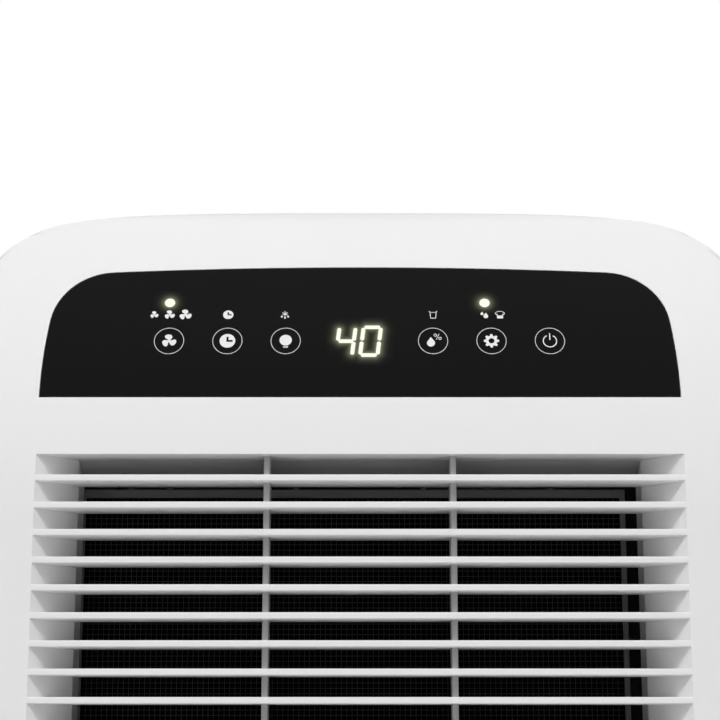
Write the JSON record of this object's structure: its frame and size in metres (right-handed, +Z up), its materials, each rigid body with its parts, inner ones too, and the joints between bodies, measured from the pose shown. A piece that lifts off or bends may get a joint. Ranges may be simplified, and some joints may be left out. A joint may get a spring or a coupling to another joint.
{
  "type": "dehumidifier",
  "caption": "Compressor dehumidifier on casters: domed white shell, black touch panel, front louvre grille, pull-out tank, side-loading filter, tilting outlet vanes on top.",
  "frame": {"origin": "on the floor, under the middle of the body's outline", "axes": "+Z up, -Y out of the front with the grille and the control panel, +X to the right as seen from the front"},
  "size_m": [0.38, 0.26, 0.5],
  "materials": {
    "shell_white": "satin moulded ABS",
    "outlet_white": "satin moulded ABS",
    "panel_black": "gloss black, printed from behind",
    "board_green": "solder mask",
    "display_dark": "gloss",
    "lamp_clear": "clear lens",
    "spring_steel": "plated spring steel",
    "filter_grey": "matt moulded",
    "mesh_black": "woven",
    "fin_coated": "blue coated foil",
    "fin_bare": "bare foil",
    "copper": "drawn copper tube",
    "inner_white": "matt moulded",
    "fan_dark": "matt moulded",
    "motor_grey": "satin",
    "steel_bright": "zinc plated",
    "compressor_black": "satin enamel",
    "rubber_black": "matt",
    "pan_metal": "galvanised and painted",
    "box_dark": "matt flame-retardant",
    "tank_clear": "translucent polypropylene",
    "window_clear": "clear styrene",
    "float_white": "foamed",
    "caster_grey": "matt nylon",
    "wheel_grey": "matt"
  },
  "bodies": {
    "cabinet": {"front_shell": "shell_white", "rear_shell": "shell_white", "top_cover": "shell_white", "outlet_frame": "outlet_white", "swing_motor": "motor_grey", "control_panel": "panel_black", "display_board": "board_green", "digit_display": "display_dark", "status_lamps": "lamp_clear", "touch_springs": "spring_steel", "evaporator_fins": "fin_coated", "evaporator_tubes": "copper", "condenser_fins": "fin_bare", "condenser_tubes": "copper", "drip_tray": "inner_white", "scroll_front": "inner_white", "scroll_rear": "inner_white", "fan_motor": "motor_grey", "compressor": "compressor_black", "compressor_feet": "rubber_black", "compressor_bolts": "steel_bright", "suction_pipe": "copper", "discharge_pipe": "copper", "capillary_tube": "copper", "base_pan": "pan_metal", "tank_bay": "inner_white", "control_box": "box_dark", "main_board": "board_green", "level_switch": "box_dark", "humidity_sensor": "board_green", "drain_spigot": "inner_white", "cord_gland": "rubber_black", "grips": "outlet_white", "shell_screws": "steel_bright"},
    "vane_front": {"vane_front": "outlet_white"},
    "vane_middle": {"vane_middle": "outlet_white"},
    "vane_rear": {"vane_rear": "outlet_white"},
    "vane_link": {"vane_link": "box_dark"},
    "filter": {"filter_frame": "filter_grey", "filter_mesh": "mesh_black"},
    "fan": {"impeller": "fan_dark", "motor_shaft": "steel_bright"},
    "tank": {"tank_body": "tank_clear", "tank_front": "shell_white", "tank_window": "window_clear", "tank_lid": "outlet_white"},
    "float": {"tank_float": "float_white"},
    "drain_flap": {"drain_flap": "shell_white"},
    "caster_front_left_swivel": {"caster_front_left_fork": "caster_grey", "caster_front_left_axle": "steel_bright"},
    "caster_front_left_roller": {"caster_front_left_wheel": "wheel_grey"},
    "caster_front_right_swivel": {"caster_front_right_fork": "caster_grey", "caster_front_right_axle": "steel_bright"},
    "caster_front_right_roller": {"caster_front_right_wheel": "wheel_grey"},
    "caster_rear_left_swivel": {"caster_rear_left_fork": "caster_grey", "caster_rear_left_axle": "steel_bright"},
    "caster_rear_left_roller": {"caster_rear_left_wheel": "wheel_grey"},
    "caster_rear_right_swivel": {"caster_rear_right_fork": "caster_grey", "caster_rear_right_axle": "steel_bright"},
    "caster_rear_right_roller": {"caster_rear_right_wheel": "wheel_grey"}
  },
  "joints": [
    {"name": "vane_front_tilt", "type": "hinge", "parent": "cabinet", "child": "vane_front", "pos_m": [0, -0.002, 0.482], "axis": [1, 0, 0], "range_deg": [-50, 50]},
    {"name": "vane_middle_tilt", "type": "hinge", "parent": "cabinet", "child": "vane_middle", "pos_m": [0, 0.022, 0.482], "axis": [1, 0, 0], "range_deg": [-50, 50]},
    {"name": "vane_rear_tilt", "type": "hinge", "parent": "cabinet", "child": "vane_rear", "pos_m": [0, 0.046, 0.482], "axis": [1, 0, 0], "range_deg": [-50, 50]},
    {"name": "vane_link_pivot", "type": "hinge", "parent": "vane_front", "child": "vane_link", "pos_m": [-0.1158, -0.002, 0.474], "axis": [1, 0, 0], "range_deg": [-50, 50]},
    {"name": "filter_slide", "type": "slide", "parent": "cabinet", "child": "filter", "axis": [-1, 0, 0], "range_m": [0, 0.3]},
    {"name": "fan_spin", "type": "hinge", "parent": "cabinet", "child": "fan", "pos_m": [-0.008, 0.014, 0.322], "axis": [0, 1, 0], "continuous": true},
    {"name": "tank_slide", "type": "slide", "parent": "cabinet", "child": "tank", "axis": [0, -1, 0], "range_m": [0, 0.13]},
    {"name": "float_pivot", "type": "hinge", "parent": "tank", "child": "float", "pos_m": [0.08, -0.0165, 0.168], "axis": [-1, 0, 0], "range_deg": [0, 20]},
    {"name": "drain_flap_hinge", "type": "hinge", "parent": "cabinet", "child": "drain_flap", "pos_m": [0.11, 0.128, 0.2135], "axis": [1, 0, 0], "range_deg": [0, 100]},
    {"name": "caster_front_left_swivel", "type": "hinge", "parent": "cabinet", "child": "caster_front_left_swivel", "pos_m": [-0.15, -0.095, 0.0375], "axis": [0, 0, 1], "continuous": true},
    {"name": "caster_front_left_roll", "type": "hinge", "parent": "caster_front_left_swivel", "child": "caster_front_left_roller", "pos_m": [-0.15, -0.083, 0.015], "axis": [1, 0, 0], "continuous": true},
    {"name": "caster_front_right_swivel", "type": "hinge", "parent": "cabinet", "child": "caster_front_right_swivel", "pos_m": [0.15, -0.095, 0.0375], "axis": [0, 0, 1], "continuous": true},
    {"name": "caster_front_right_roll", "type": "hinge", "parent": "caster_front_right_swivel", "child": "caster_front_right_roller", "pos_m": [0.15, -0.083, 0.015], "axis": [1, 0, 0], "continuous": true},
    {"name": "caster_rear_left_swivel", "type": "hinge", "parent": "cabinet", "child": "caster_rear_left_swivel", "pos_m": [-0.15, 0.095, 0.0375], "axis": [0, 0, 1], "continuous": true},
    {"name": "caster_rear_left_roll", "type": "hinge", "parent": "caster_rear_left_swivel", "child": "caster_rear_left_roller", "pos_m": [-0.15, 0.107, 0.015], "axis": [1, 0, 0], "continuous": true},
    {"name": "caster_rear_right_swivel", "type": "hinge", "parent": "cabinet", "child": "caster_rear_right_swivel", "pos_m": [0.15, 0.095, 0.0375], "axis": [0, 0, 1], "continuous": true},
    {"name": "caster_rear_right_roll", "type": "hinge", "parent": "caster_rear_right_swivel", "child": "caster_rear_right_roller", "pos_m": [0.15, 0.107, 0.015], "axis": [1, 0, 0], "continuous": true}
  ],
  "couplings": [
    {"joint": "vane_middle_tilt", "follows": "vane_front_tilt", "ratio": 1},
    {"joint": "vane_rear_tilt", "follows": "vane_front_tilt", "ratio": 1},
    {"joint": "vane_link_pivot", "follows": "vane_front_tilt", "ratio": -1}
  ]
}
